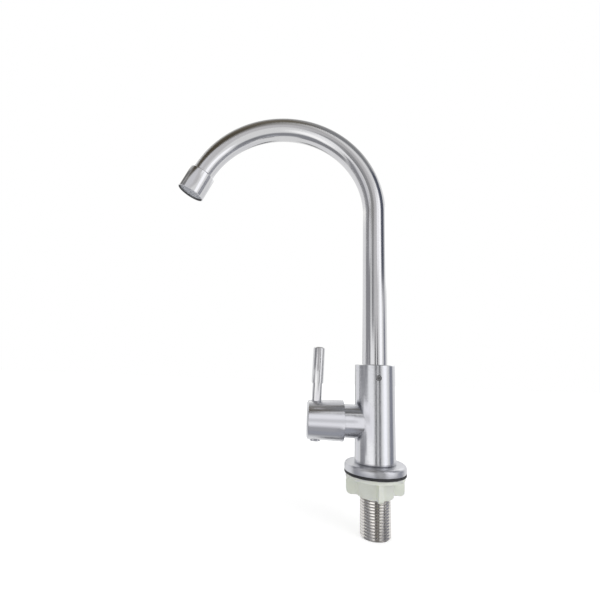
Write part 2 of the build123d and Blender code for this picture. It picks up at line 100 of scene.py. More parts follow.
THREAD_R = SHANK_HIGH.x
FLANGE_R = half_width("base_flange")
BODY_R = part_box("faucet_body")[1].x
TUBE_R = TUBE_HIGH.x
ROD_R = TUBE_R / 2
BRANCH_HEIGHT = middle("handle_cap").z
LEVER_X = middle("handle_plug").x


def length(name, description, millimetres):
    """A size property, written in millimetres."""
    return FloatProperty(
        name=name, description=description, default=millimetres * MM, unit="LENGTH", precision=5
    )


def angle(name, description, degrees):
    """An angle property, written in degrees."""
    return FloatProperty(
        name=name, description=description, default=radians(degrees), subtype="ANGLE"
    )


def colour(name, description, *linear):
    """A colour property in linear values."""
    return FloatVectorProperty(
        name=name, description=description, default=linear, subtype="COLOR", min=0.0, max=1.0
    )


def share(name, description, default):
    """A plain number property."""
    return FloatProperty(name=name, description=description, default=default, min=0.0)


class FaucetSizes(PropertyGroup):
    """Sizes of the finished pieces that the frame doesn't give."""

    bend_radius: length("Bend radius", "Radius of the gooseneck's centre line", 75.3)
    bend_sweep: angle("Bend sweep", "How far round the gooseneck turns", 155)
    tube_wall: length("Tube wall", "Thickness of the spout's tube", 0.8)
    tube_tail: length("Tube tail", "Straight end of the tube after the bend", 8.5)
    lever_lean: angle("Lever lean", "Lean of the lever towards the spout", 1.5)
    thread_pitch: length("Thread pitch", "Rise of the shank's thread in one turn", 1.814)
    thread_depth: length("Thread depth", "Height of the shank's thread", 0.42)
    thread_crest: length("Thread crest", "Width of the thread's flat crest", 1.15)
    thread_flank: angle("Thread flank", "Slope of the thread's flanks", 27.5)
    thread_soft: length("Thread rounding", "Rounding of the thread's crests and roots", 0.08)
    shank_bore: length("Shank bore", "Diameter of the water inlet", 15.0)
    shank_lead: length("Shank lead", "Chamfer where the thread starts", 0.8)
    slip_gap: length("Slip gap", "Gap between the thread and what slides over it", 0.12)
    nut_brim: length("Nut brim", "Thickness of the lock nut's brim", 2.6)
    nut_hub: length("Nut hub", "Diameter of the lock nut's hub", 25.4)
    wing_span: length("Wing span", "Distance across two opposite wings", 40.4)
    wing_thickness: length("Wing thickness", "Thickness of a finger wing", 3.4)
    wing_rise: length("Wing rise", "How far the wings stop above the hub's foot", 0.4)
    wing_corner: length("Wing corner", "Radius of a wing's lower outer corner", 3.0)
    nut_grain: length("Nut grain", "Width of the cells that the moulded nut is rebuilt from", 0.33)
    flange_rim: length("Flange rim", "Width of the flange's rim round the gasket", 2.5)
    flange_round: length("Flange shoulder", "Rounding of the flange's upper edge", 2.0)
    recess_depth: length("Recess depth", "Depth of the gasket's recess in the flange", 3.0)
    edge_round: length("Edge round", "Rounding of turned steel edges", 0.28)
    cap_open: length("Cap opening", "Outer diameter of the handle cap at its open end", 28.6)
    cap_end: length("Cap end", "Outer diameter of the handle cap at its closed end", 26.9)
    cap_edge: length("Cap edge", "Slope round the handle cap's closed end", 1.2)
    cap_dome: length("Cap dome", "How far the cap's end face bulges", 0.25)
    cap_cavity: length("Cap cavity", "Diameter of the hollow over the valve", 24.4)
    cap_floor: length("Cap floor", "Thickness of the cap's solid end", 13.25)
    stem_diameter: length("Stem diameter", "Thickness of the lever near the cap", 7.4)
    grip_diameter: length("Grip diameter", "Thickness of the lever's grip", 8.5)
    grip_start: length("Grip start", "Length of the lever's slim stem", 11.4)
    grip_taper: length("Grip taper", "Length of the step from stem to grip", 1.5)
    lever_rise: length("Lever rise", "How far the lever stands above the cap", 38.4)
    lever_edge: length("Lever edge", "Slope round the lever's tip", 0.8)
    stem_sink: length("Stem sink", "How deep the lever's stem sits in the cap", 1.6)
    aerator_length: length("Aerator length", "Length of the aerator's shell", 19.5)
    aerator_diameter: length("Aerator diameter", "Outer diameter of the aerator's shell", 22.0)
    aerator_bore: length("Aerator bore", "Inner diameter of the aerator's shell", 19.9)
    shoulder_round: length("Shoulder round", "Rounding of the aerator's upper edge", 0.9)
    rim_round: length("Rim round", "Rounding of the aerator's thin edges", 0.15)
    mouth_wall: length("Mouth wall", "Thickness of the aerator's rim", 0.7)
    mouth_depth: length("Mouth depth", "How far the screen is set back in the rim", 1.1)
    lip_bore: length("Lip bore", "Inner diameter of the lip that holds the insert", 19.0)
    lip_thickness: length("Lip thickness", "Thickness of that lip", 1.6)
    screen_pitch: length("Screen pitch", "Distance between the screen's wires", 0.46)
    screen_wire: length("Screen wire", "Thickness of the screen's wires", 0.19)
    socket_key: length("Key size", "Width of the key that fits the set screw", 2.0)
    socket_depth: length("Key depth", "Depth of the hexagon in the set screw", 1.8)
    wing_count: IntProperty(
        name="Wing count", description="Number of finger wings on the lock nut", default=4, min=2
    )


class FaucetColours(PropertyGroup):
    """Base colours of the finishes, in linear values."""

    satin_steel: colour("Satin steel", "Body, flange, handle cap and plug", 0.595, 0.60, 0.622)
    spout_steel: colour("Spout steel", "Gooseneck and aerator", 0.62, 0.62, 0.63)
    lever_steel: colour("Lever steel", "Lever rod", 0.62, 0.62, 0.63)
    thread_steel: colour("Thread steel", "Threaded shank", 0.62, 0.60, 0.575)
    dark_steel: colour("Dark steel", "Grub screw and clip", 0.22, 0.22, 0.225)
    screw_steel: colour("Screw steel", "Set screw of the spout", 0.32, 0.32, 0.325)
    screen_steel: colour("Screen steel", "Wires in the aerator's mouth", 0.50, 0.51, 0.54)
    brass: colour("Brass", "Valve housing, spindle and brazed ends", 0.62, 0.46, 0.22)
    black_rubber: colour("Black rubber", "Gasket, O-rings and washers", 0.022, 0.022, 0.024)
    nut_plastic: colour("Nut plastic", "Milky lock nut", 0.86, 0.885, 0.815)
    white_plastic: colour("White plastic", "Guide bush", 0.72, 0.72, 0.70)
    grey_plastic: colour("Grey plastic", "Aerator insert", 0.42, 0.435, 0.47)
    ceramic: colour("Ceramic", "Valve discs", 0.80, 0.79, 0.76)
    floor: colour("Floor", "Pale floor", 0.86, 0.86, 0.86)


class FaucetStage(PropertyGroup):
    """Camera and light of the studio."""

    eye_distance: length("Camera distance", "From the faucet's axis to the camera", 270.16)
    eye_azimuth: angle("Camera azimuth", "Camera's way round the faucet from the front", 11.452)
    eye_height: length("Camera height", "Above the deck", 68.25)
    eye_heading: angle("Camera heading", "Turn of the view to the left", 0.847)
    eye_pitch: angle("Camera pitch", "Tilt of the view upwards", 11.431)
    eye_roll: angle("Camera roll", "Turn of the picture", 2.284)
    focal_share: share("Focal length", "Focal length as a share of the picture's width", 0.58151)
    ambient: share("Ambient light", "Light that the room gives to plain surfaces", 0.46)
    key_level: share("Key light", "Brightness of the large soft box on the right", 1.8)
    fill_level: share("Fill light", "Brightness of the low soft box on the left", 2.8)
    floor_lift: share("Floor lift", "White that the floor adds under the faucet", 0.57)
    floor_fade: share("Floor fade", "White that the floor adds further away", 0.45)


# Modelling by hand


def clear_selection():
    """Leaves edit mode and selects nothing."""
    if bpy.context.object and bpy.context.object.mode != "OBJECT":
        bpy.ops.object.mode_set(mode="OBJECT")
    bpy.ops.object.select_all(action="DESELECT")


def take(piece):
    """Makes a piece the only selected one."""
    clear_selection()
    piece.select_set(True)
    bpy.context.view_layer.objects.active = piece


def placed(piece, matrix):
    """Moves a piece to its axis, with its place in its mesh."""
    take(piece)
    piece.matrix_world = matrix
    bpy.ops.object.transform_apply(location=True, rotation=True, scale=True)
    return piece


def added(primitive, name, **settings):
    """A new primitive, with its place in its mesh."""
    clear_selection()
    primitive(**settings)
    piece = bpy.context.object
    piece.name = name
    piece.data.name = name
    bpy.ops.object.transform_apply(location=True, rotation=True, scale=True)
    return piece


def edit(piece, kind, action="SELECT"):
    """Opens a piece in edit mode with all or nothing of it selected."""
    take(piece)
    bpy.ops.object.mode_set(mode="EDIT")
    bpy.ops.mesh.select_mode(type=kind)
    bpy.ops.mesh.select_all(action=action)


def pull(step):
    """Extrudes what is selected by a step."""
    bpy.ops.mesh.extrude_region_move(TRANSFORM_OT_translate={"value": step})


def keep_between(low, high, axis):
    """Cuts the open mesh at two places along an axis, closes the cuts and keeps the middle."""
    for place, outer in ((low, False), (high, True)):
        bpy.ops.mesh.select_all(action="SELECT")
        bpy.ops.mesh.bisect(
            plane_co=axis * place,
            plane_no=axis,
            use_fill=True,
            clear_inner=not outer,
            clear_outer=outer,
        )


def close_up():
    """Merges doubled points and turns the faces outwards, then leaves edit mode."""
    bpy.ops.mesh.select_all(action="SELECT")
    bpy.ops.mesh.remove_doubles(threshold=MERGE_DISTANCE)
    bpy.ops.mesh.select_all(action="SELECT")
    bpy.ops.mesh.normals_make_consistent(inside=False)
    bpy.ops.object.mode_set(mode="OBJECT")


def drawn_line(name, points):
    """A line of edges through (radius, height) points, pulled out of one vertex corner by corner."""
    start = (points[0][0], 0, points[0][1])
    line = added(bpy.ops.mesh.primitive_plane_add, name, size=MM, location=start)
    edit(line, "VERT")
    bpy.ops.mesh.merge(type="CENTER")
    for before, after in zip(points, points[1:]):
        pull((after[0] - before[0], 0, after[1] - before[1]))
    return line


def turned(name, points, ring=False):
    """A piece turned about Z from its (radius, height) points. A ring's line is closed first."""
    piece = drawn_line(name, points)
    if ring:
        mesh = bmesh.from_edit_mesh(piece.data)
        for vertex in mesh.verts:
            vertex.select = len(vertex.link_edges) == 1
        mesh.select_flush(True)
        bmesh.update_edit_mesh(piece.data)
        bpy.ops.mesh.edge_face_add()
    bpy.ops.mesh.select_all(action="SELECT")
    bpy.ops.mesh.spin(steps=TURN_SIDES, angle=2 * pi, center=(0, 0, 0), axis=(0, 0, 1))
    close_up()
    return piece


def turned_rod(name, radius, low, high):
    """A plain rod about Z, used as a drill."""
    return turned(name, [(0, low), (radius, low), (radius, high), (0, high)])


def modified(piece, kind, **settings):
    """Adds a modifier with its settings and applies it."""
    take(piece)
    modifier = piece.modifiers.new(kind.title(), kind)
    for key, value in settings.items():
        setattr(modifier, key, value)
    bpy.ops.object.modifier_apply(modifier=modifier.name)


def rounded(piece, width):
    """Rounds the sharp edges of a piece."""
    modified(
        piece,
        "BEVEL",
        width=width,
        segments=EDGE_SEGMENTS,
        limit_method="ANGLE",
        angle_limit=SMOOTH_ANGLE,
        use_clamp_overlap=True,
    )


def bevel_edges(piece, chosen, width):
    """Rounds the edges whose two ends are both at chosen places."""
    edit(piece, "EDGE", "DESELECT")
    mesh = bmesh.from_edit_mesh(piece.data)
    for edge in mesh.edges:
        edge.select = all(chosen(vertex.co) for vertex in edge.verts)
    bmesh.update_edit_mesh(piece.data)
    bpy.ops.mesh.bevel(offset=width, segments=RIM_SEGMENTS, affect="EDGES")
    bpy.ops.object.mode_set(mode="OBJECT")


def round_rim(piece, radius, height, width):
    """Rounds one rim of a turned piece."""

    def on_rim(place):
        off_radius = abs(place.xy.length - radius)
        return max(off_radius, abs(place.z - height)) < MERGE_DISTANCE

    bevel_edges(piece, on_rim, width)


def combined(piece, tool, operation):
    """Cuts a piece with another, or joins or keeps what both share, and removes the tool."""
    modified(piece, "BOOLEAN", object=tool, operation=operation, solver="EXACT")
    bpy.data.objects.remove(tool)


def paint_named(name):
    """A material that is made already."""
    if name not in bpy.data.materials:
        raise RuntimeError(f"material {name} isn't made yet")
    return bpy.data.materials[name]


def painted(mesh, paint):
    """Gives a mesh one material."""
    mesh.materials.clear()
    mesh.materials.append(paint_named(paint))


def finished(piece, body, node, paint):
    """Smooths a piece, paints it and lets it ride on its body in place of a frame node."""
    take(piece)
    bpy.ops.object.shade_smooth_by_angle(angle=SMOOTH_ANGLE)
    if not piece.data.polygons:
        raise RuntimeError(f"{piece.name} has no faces")
    painted(piece.data, paint)
    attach(piece, body)
    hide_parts(node)


# Axes of the pieces


def axis_at(place, turn, about):
    """Matrix of an axis: Z turned about a world axis and moved to a place."""
    return Matrix.Translation(place) @ Matrix.Rotation(turn, 4, about)


def branch_axis():
    """Out along the valve branch, from the faucet's axis."""
    return axis_at((0, 0, BRANCH_HEIGHT), -pi / 2, "Y")


def bend_height(sizes):
    """Height at which the straight spout goes over into the bend."""
    return TUBE_HIGH.z - TUBE_R - sizes.bend_radius


def outlet_axis(sizes):
    """Out along the aerator, from the end of the spout's bend."""
    reach = sizes.bend_radius * (1 - cos(sizes.bend_sweep))
    height = bend_height(sizes) + sizes.bend_radius * sin(sizes.bend_sweep)
    return axis_at((-reach, 0, height), -sizes.bend_sweep, "Y")


def lever_axis(sizes):
    """Up along the lever, from the branch's axis."""
    return axis_at((LEVER_X, 0, BRANCH_HEIGHT), sizes.lever_lean, "Y")


def underside_axis():
    """Down through the handle cap, from the branch's axis."""
    return axis_at((LEVER_X, 0, BRANCH_HEIGHT), pi, "X")


def screw_axis():
    """Out of the body's front through the spout's set screw."""
    return axis_at((0, 0, middle("spout_set_screw").z), pi / 2, "X")


# Shader expressions


class Wire:
    """A shader socket in a Python expression: each operator adds one Math node."""

    def __init__(self, tree, socket=None):
        self.tree = tree
        self.socket = socket

    def node(self, kind, settings=None, inputs=None, output=0):
        """Adds a node, sets it up, fills its sockets and returns one output or a tuple's outputs."""
        node = self.tree.nodes.new(kind)
        for key, value in (settings or {}).items():
            setattr(node, key, value)
        for key, value in (inputs or {}).items():
            if isinstance(value, Wire):
                self.tree.links.new(value.socket, node.inputs[key])
            else:
                node.inputs[key].default_value = value
        if isinstance(output, tuple):
            return [Wire(self.tree, node.outputs[key]) for key in output]
        return Wire(self.tree, node.outputs[output])

    def math(self, operation, *values):
        """One Math node on wires and numbers."""
        return self.node("ShaderNodeMath", {"operation": operation}, dict(enumerate(values)))

    def __add__(self, other):
        return self.math("ADD", self, other)

    def __radd__(self, other):
        return self.math("ADD", other, self)

    def __sub__(self, other):
        return self.math("SUBTRACT", self, other)

    def __rsub__(self, other):
        return self.math("SUBTRACT", other, self)

    def __mul__(self, other):
        return self.math("MULTIPLY", self, other)

    def __rmul__(self, other):
        return self.math("MULTIPLY", other, self)

    def root(self):
        """Square root."""
        return self.math("SQRT", self)

    def size(self):
        """Value without its sign."""
        return self.math("ABSOLUTE", self)

    def turn_from(self, other):
        """Angle whose tangent is this over the other."""
        return self.math("ARCTAN2", self, other)

    def at_most(self, other):
        """The smaller of two values."""
        return self.math("MINIMUM", self, other)

    def at_least(self, other):
        """The larger of two values."""
        return self.math("MAXIMUM", self, other)

    def between(self, low, high):
        """Goes from low to high as this value goes from 0 to 1."""
        return low + self * (high - low)

    def step(self, low, high):
        """0 below one value, 1 above another and smooth between."""
        settings = {"interpolation_type": "SMOOTHSTEP"}
        inputs = {"Value": self, "From Min": low, "From Max": high}
        return self.node("ShaderNodeMapRange", settings, inputs)

    def split(self):
        """The three parts of a vector."""
        return self.node("ShaderNodeSeparateXYZ", {}, {0: self}, output=("X", "Y", "Z"))

    def noise(self, scale=1.0, detail=2.0, roughness=0.5, dimensions="3D"):
        """Noise between 0 and 1 at the places of this vector."""
        inputs = {"Vector": self, "Scale": scale, "Detail": detail, "Roughness": roughness}
        return self.node("ShaderNodeTexNoise", {"noise_dimensions": dimensions}, inputs)

    def tinted(self, first, second):
        """A colour that goes from one colour to another as this value goes from 0 to 1."""
        inputs = {"Factor": self, 6: first, 7: second}
        return self.node("ShaderNodeMix", {"data_type": "RGBA"}, inputs, output=2)

    def shades(self, tint, dark, light):
        """A tint that goes from a dark to a light shade of it."""
        return self.tinted(opaque(tint, dark), opaque(tint, light))


def opaque(tint, factor=1.0):
    """A colour with full alpha, darkened or lightened by a factor."""
    return (*[min(part * factor, 1.0) for part in tint], 1.0)


def new_paint(name):
    """An empty node material, as the wire that it is built with."""
    paint = bpy.data.materials.new(name)
    paint.use_nodes = True
    paint.node_tree.nodes.clear()
    return Wire(paint.node_tree)


def local_place(wire, matrix=None):
    """Object coordinates in millimetres, in the frame of an axis where one is given."""
    place = wire.node("ShaderNodeTexCoord", output="Object")
    if matrix is not None:
        inputs = {
            "Vector": place,
            "Location": matrix.to_translation(),
            "Rotation": matrix.to_euler(),
        }
        place = wire.node("ShaderNodeMapping", {"vector_type": "TEXTURE"}, inputs)
    return wire.node("ShaderNodeVectorMath", {"operation": "SCALE"}, {0: place, "Scale": 1 / MM})


def surface(wire, base, roughness, height, depth, **constants):
    """A Principled surface: varying inputs wired, a bump of a depth in millimetres, the rest set."""
    bump = {"Height": height, "Strength": 1.0, "Distance": depth * MM}
    normal = wire.node("ShaderNodeBump", {}, bump)
    varying = {"Base Color": base, "Roughness": roughness, "Normal": normal}
    end_paint(wire, wire.node("ShaderNodeBsdfPrincipled", {}, varying | constants))


def end_paint(wire, shader, kind="ShaderNodeOutputMaterial"):
    """Ends a material or a world with its shader."""
    wire.node(kind, {}, {"Surface": shader}, output=())


# Finishes

# Waves of the brush marks in a millimetre around and along a piece
BRUSH_MARKS = (0.045, 3.1)
BRUSH_FINE = (0.11, 9.0)
BRUSH_CLOUDS = (0.05, 0.05)
THREAD_MARKS = (0.5, 7.0)
# Share of the coarse marks in the steel's height and tint, and how far marks and clouds move its gloss
MARK_SHARE = 0.7
MARK_SWING = 0.2
CLOUD_SWING = 0.03
LEAST_ROUGHNESS = 0.04
# Darkening and added roughness of steel under painted shade, as inside the aerator's mouth
PAINTED_SHADE_LEVEL = 0.2
PAINTED_SHADE_ROUGHNESS = 0.3
# Share of stains in the brass's tint, and of dust and grain in the rubber's
STAIN_SHARE = 0.6
DUST_SHARE = 0.6
GRAIN_SHARE = 0.2
# Noise values between which dust sets in on rubber, and how much a plastic's gloss varies
DUST_EDGES = (0.5, 0.8)
PLASTIC_SWING = 0.1
# Distances in millimetres over which one finish goes over into another, and over which painted shade
# fades in the aerator's mouth and the thread's roots
BRANCH_SEAM = (0.02, 0.08)
MOUTH_SHADE_FADE = (0.05, 0.2)
CREST_BAND = 0.1


class Lathe:
    """Places on a turned surface in millimetres: along the tool's path and around the axis."""

    def __init__(self, wire, matrix, radius):
        self.place = local_place(wire, matrix)
        x, y, z = self.place.split()
        self.radial = (x * x + y * y).root()
        self.along = z + self.radial
        self.around = y.turn_from(x) * (radius / MM)


def streaks(wire, around, along, waves, detail=2.0, roughness=0.5):
    """Noise on an unrolled surface, with so many waves in a millimetre around and along it."""
    flat = wire.node("ShaderNodeCombineXYZ", {}, {0: around * waves[0], 1: along * waves[1]})
    return flat.noise(1.0, detail, roughness, "2D")


def brushed_steel(wire, tint, around, along, rough, grain, painted_shade=None, **stretch):
    """Steel with brush marks round the piece, cut to a grain in millimetres, with painted shade where
    a shade mask is given.
    """
    marks = streaks(wire, around, along, BRUSH_MARKS, detail=3.0, roughness=0.62)
    fine = streaks(wire, around, along, BRUSH_FINE, roughness=0.6)
    clouds = streaks(wire, around, along, BRUSH_CLOUDS)
    height = marks * MARK_SHARE + fine * (1 - MARK_SHARE)
    swing = MARK_SWING * rough
    gloss = rough + marks.between(-swing, swing) + clouds.between(-CLOUD_SWING, CLOUD_SWING)
    base = (marks * MARK_SHARE + clouds * (1 - MARK_SHARE)).shades(tint, dark=0.94, light=1.05)
    # Painted shade: the steel is darkened and roughened where the mask is 1
    if painted_shade is not None:
        base = painted_shade.tinted(base, opaque(tint, PAINTED_SHADE_LEVEL))
        gloss = gloss + painted_shade * PAINTED_SHADE_ROUGHNESS
    surface(wire, base, gloss.at_least(LEAST_ROUGHNESS), height, grain, Metallic=1.0, **stretch)


def turned_steel(name, tint, matrix, radius, rough, grain, **stretch):
    """Brushed steel on a piece turned about one axis, with its highlights stretched where asked."""
    wire = new_paint(name)
    lathe = Lathe(wire, matrix, radius)
    brushed_steel(wire, tint, lathe.around, lathe.along, rough, grain, **stretch)


def aerator_steel(name, tint, sizes):
    """Polished steel of the aerator's shell, with painted shade and more roughness inside its mouth.
    """
    wire = new_paint(name)
    lathe = Lathe(wire, outlet_axis(sizes), TUBE_R)
    mouth = (sizes.aerator_diameter / 2 - sizes.mouth_wall) / MM
    # Painted shade on the inside of the mouth, within the rim's wall
    painted_shade = 1 - lathe.radial.step(*[mouth + seam for seam in MOUTH_SHADE_FADE])
    brushed_steel(wire, tint, lathe.around, lathe.along, rough=0.12, grain=0.012, painted_shade=painted_shade)


def body_steel(name, tint):
    """Brushed steel on the upright body, with its marks turned on the side branch."""
    wire = new_paint(name)
    body = Lathe(wire, None, BODY_R)
    branch = Lathe(wire, branch_axis(), BODY_R)
    on_branch = body.radial.step(*[BODY_R / MM + seam for seam in BRANCH_SEAM])
    along = on_branch.between(body.along, branch.along)
    around = on_branch.between(body.around, branch.around)
    brushed_steel(wire, tint, around, along, rough=0.14, grain=0.04)


def gooseneck_steel(name, tint, sizes):
    """Polished steel whose faint marks follow the gooseneck's bend."""
    wire = new_paint(name)
    x, y, z = local_place(wire).split()
    bend = sizes.bend_radius / MM
    bend_low = bend_height(sizes) / MM
    across = x + bend
    above = (z - bend_low).at_least(0.0)
    outward = (across * across + above * above).root() - bend
    along = z.at_most(bend_low) + above.turn_from(across) * bend
    around = y.turn_from(outward) * (TUBE_R / MM)
    brushed_steel(wire, tint, around, along, rough=0.13, grain=0.006)


def thread_steel(name, tint, sizes):
    """Bright cut thread: painted shade darkens the roots, the crests are burnished."""
    wire = new_paint(name)
    lathe = Lathe(wire, None, THREAD_R)
    crest = THREAD_R / MM
    # Painted shade: roots and flanks are darkened, the crests keep their tint
    unshaded_crest = lathe.radial.step(crest - sizes.thread_depth / MM, crest - CREST_BAND)
    grime = lathe.place.noise(scale=0.9, detail=3.0, roughness=0.6)
    marks = streaks(wire, lathe.around, lathe.along, THREAD_MARKS)
    base = (unshaded_crest * grime.between(0.82, 1.12)).shades(tint, dark=0.72, light=1.1)
    gloss = unshaded_crest.between(0.30, 0.13) + marks.between(-0.05, 0.05)
    surface(wire, base, gloss, marks, depth=0.004, Metallic=1.0)


def dark_metal(name, tint):
    """Blackened or plain metal of small fasteners and wires."""
    wire = new_paint(name)
    grain = local_place(wire).noise(scale=4.0, detail=3.0, roughness=0.6)
    base = grain.shades(tint, dark=0.75, light=1.3)
    surface(wire, base, grain.between(0.28, 0.48), grain, depth=0.01, Metallic=1.0)


def tarnished_brass(name, tint):
    """Turned brass with a slightly tarnished skin."""
    wire = new_paint(name)
    place = local_place(wire)
    grain = place.noise(scale=2.2, detail=3.0, roughness=0.6)
    stain = place.noise(scale=0.25)
    tarnish = stain * STAIN_SHARE + grain * (1 - STAIN_SHARE)
    base = tarnish.shades(tint, dark=0.8, light=1.15)
    surface(wire, base, stain.between(0.26, 0.42), grain, depth=0.008, Metallic=1.0)


def rubber(name, tint):
    """Black rubber with a fine matt grain and a little dust."""
    wire = new_paint(name)
    place = local_place(wire)
    grain = place.noise(scale=6.0, detail=3.0, roughness=0.6)
    dust = place.noise(scale=0.5, detail=3.0, roughness=0.65).step(*DUST_EDGES)
    base = (dust * DUST_SHARE + grain * GRAIN_SHARE).shades(tint, dark=1.0, light=2.4)
    surface(wire, base, grain.between(0.52, 0.72), grain, depth=0.03)


def milky_plastic(name, tint):
    """Translucent moulded plastic with cloudy depth and a soft sheen."""
    wire = new_paint(name)
    place = local_place(wire)
    grain = place.noise(scale=3.0)
    base = place.noise(scale=0.12).shades(tint, dark=0.93, light=1.06)
    milk = {
        "Subsurface Weight": 0.35,
        "Subsurface Radius": (1.0, 1.05, 0.8),
        "Subsurface Scale": 2.2 * MM,
    }
    surface(wire, base, grain.between(0.34, 0.44), grain, depth=0.012, **milk)


def plain_plastic(name, tint, rough):
    """Moulded plastic or ceramic with a faint grain."""
    wire = new_paint(name)
    grain = local_place(wire).noise(scale=4.0)
    base = grain.shades(tint, dark=0.92, light=1.06)
    surface(wire, base, grain.between(rough, rough + PLASTIC_SWING), grain, depth=0.01)


CARRIED_OVER = {
    "body steel": ("faucet_body",),
    "brass": ("spout_end_sleeve", "outlet_nipple", "valve_housing", "valve_spindle", "stop_ring"),
    "black rubber": (
        "spout_o_rings",
        "aerator_washer",
        "valve_seat_seal",
        "spindle_o_ring",
        "housing_o_ring",
    ),
    "blackened steel": ("handle_grub_screw", "spindle_clip"),
    "white plastic": ("spout_bush",),
    "grey plastic": ("aerator_insert",),
    "ceramic": ("fixed_ceramic_disc", "moving_ceramic_disc"),
}


class FAUCET_OT_finishes(Operator):
    """Make the materials and paint the frame nodes that stay in sight"""

    bl_idname = "faucet.finishes"
    bl_label = "Finishes"

    def execute(self, context):
        self.make_steels(context.scene.faucet_colours, context.scene.faucet_sizes)
        self.make_others(context.scene.faucet_colours)
        for paint, nodes in CARRIED_OVER.items():
            for node in nodes:
                painted(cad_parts[node].data, paint)
        return {"FINISHED"}

    def make_steels(self, tints, sizes):
        """Brushed and polished steels of the large pieces."""
        satin = tints.satin_steel
        body_steel("body steel", satin)
        gooseneck_steel("gooseneck steel", tints.spout_steel, sizes)
        aerator_steel("aerator steel", tints.spout_steel, sizes)
        thread_steel("thread steel", tints.thread_steel, sizes)
        stretch = {"Anisotropic": 0.5}
        turned_steel("cap steel", satin, branch_axis(), BODY_R, rough=0.19, grain=0.05, **stretch)
        stretch["Anisotropic Rotation"] = 0.25
        turned_steel("flange steel", satin, None, FLANGE_R, rough=0.34, grain=0.06, **stretch)
        turned_steel("plug steel", satin, underside_axis(), ROD_R, rough=0.2, grain=0.03)
        lever = lever_axis(sizes)
        turned_steel("lever steel", tints.lever_steel, lever, ROD_R, rough=0.13, grain=0.015)

    def make_others(self, tints):
        """Fasteners, brass, rubber, plastics and ceramic."""
        dark_metal("blackened steel", tints.dark_steel)
        dark_metal("screw steel", tints.screw_steel)
        dark_metal("screen wire", tints.screen_steel)
        tarnished_brass("brass", tints.brass)
        rubber("black rubber", tints.black_rubber)
        milky_plastic("milky plastic", tints.nut_plastic)
        plain_plastic("white plastic", tints.white_plastic, rough=0.4)
        plain_plastic("grey plastic", tints.grey_plastic, rough=0.45)
        plain_plastic("ceramic", tints.ceramic, rough=0.15)


# Pieces


class FAUCET_OT_shank(Operator):
    """Cut the shank's screw thread, its chamfered start and its bore"""

    bl_idname = "faucet.shank"
    bl_label = "Threaded shank"

    def execute(self, context):
        sizes = context.scene.faucet_sizes
        pitch = sizes.thread_pitch
        shank = drawn_line("shank_thread", self.tooth(sizes))
        modified(
            shank,
            "SCREW",
            angle=2 * pi,
            screw_offset=pitch,
            iterations=int((SHANK_HIGH.z - SHANK_LOW.z) / pitch) + SPARE_TURNS,
            steps=THREAD_SIDES,
            render_steps=THREAD_SIDES,
            use_merge_vertices=True,
            merge_threshold=MERGE_DISTANCE,
        )
        edit(shank, "VERT")
        keep_between(SHANK_LOW.z - pitch, SHANK_HIGH.z + pitch, Vector((0, 0, 1)))
        close_up()
        combined(shank, self.blank(sizes), "INTERSECT")
        finished(shank, "base", "threaded_shank", "thread steel")
        return {"FINISHED"}

    def tooth(self, sizes):
        """Points of one turn of the thread: half a root, a flank, the crest and back again."""
        root = THREAD_R - sizes.thread_depth
        soft = sizes.thread_soft
        run = sizes.thread_depth * tan(sizes.thread_flank)
        land = (sizes.thread_pitch - 2 * run - sizes.thread_crest) / 2
        low = SHANK_LOW.z - THREAD_START * sizes.thread_pitch
        high = low + sizes.thread_pitch
        return [
            (root, low),
            (root, low + land - soft),
            (root + soft, low + land + soft / 2),
            (THREAD_R - soft, low + land + run - soft / 2),
            (THREAD_R, low + land + run + soft),
            (THREAD_R, high - land - run - soft),
            (THREAD_R - soft, high - land - run + soft / 2),
            (root + soft, high - land - soft / 2),
            (root, high - land + soft),
            (root, high),
        ]

    def blank(self, sizes):
        """Outline that the threaded rod is cut to: chamfered foot, slim neck and bore."""
        bore = sizes.shank_bore / 2
        neck = THREAD_R - sizes.thread_depth / 2
        outer = THREAD_R + sizes.slip_gap / 2
        lead = sizes.shank_lead
        points = [
            (bore, SHANK_LOW.z),
            (outer - lead, SHANK_LOW.z),
            (outer, SHANK_LOW.z + lead),
            (outer, GASKET_HIGH.z),
            (neck, GASKET_HIGH.z),
            (neck, SHANK_HIGH.z),
            (bore, SHANK_HIGH.z),
        ]
        return turned("shank_blank", points, ring=True)


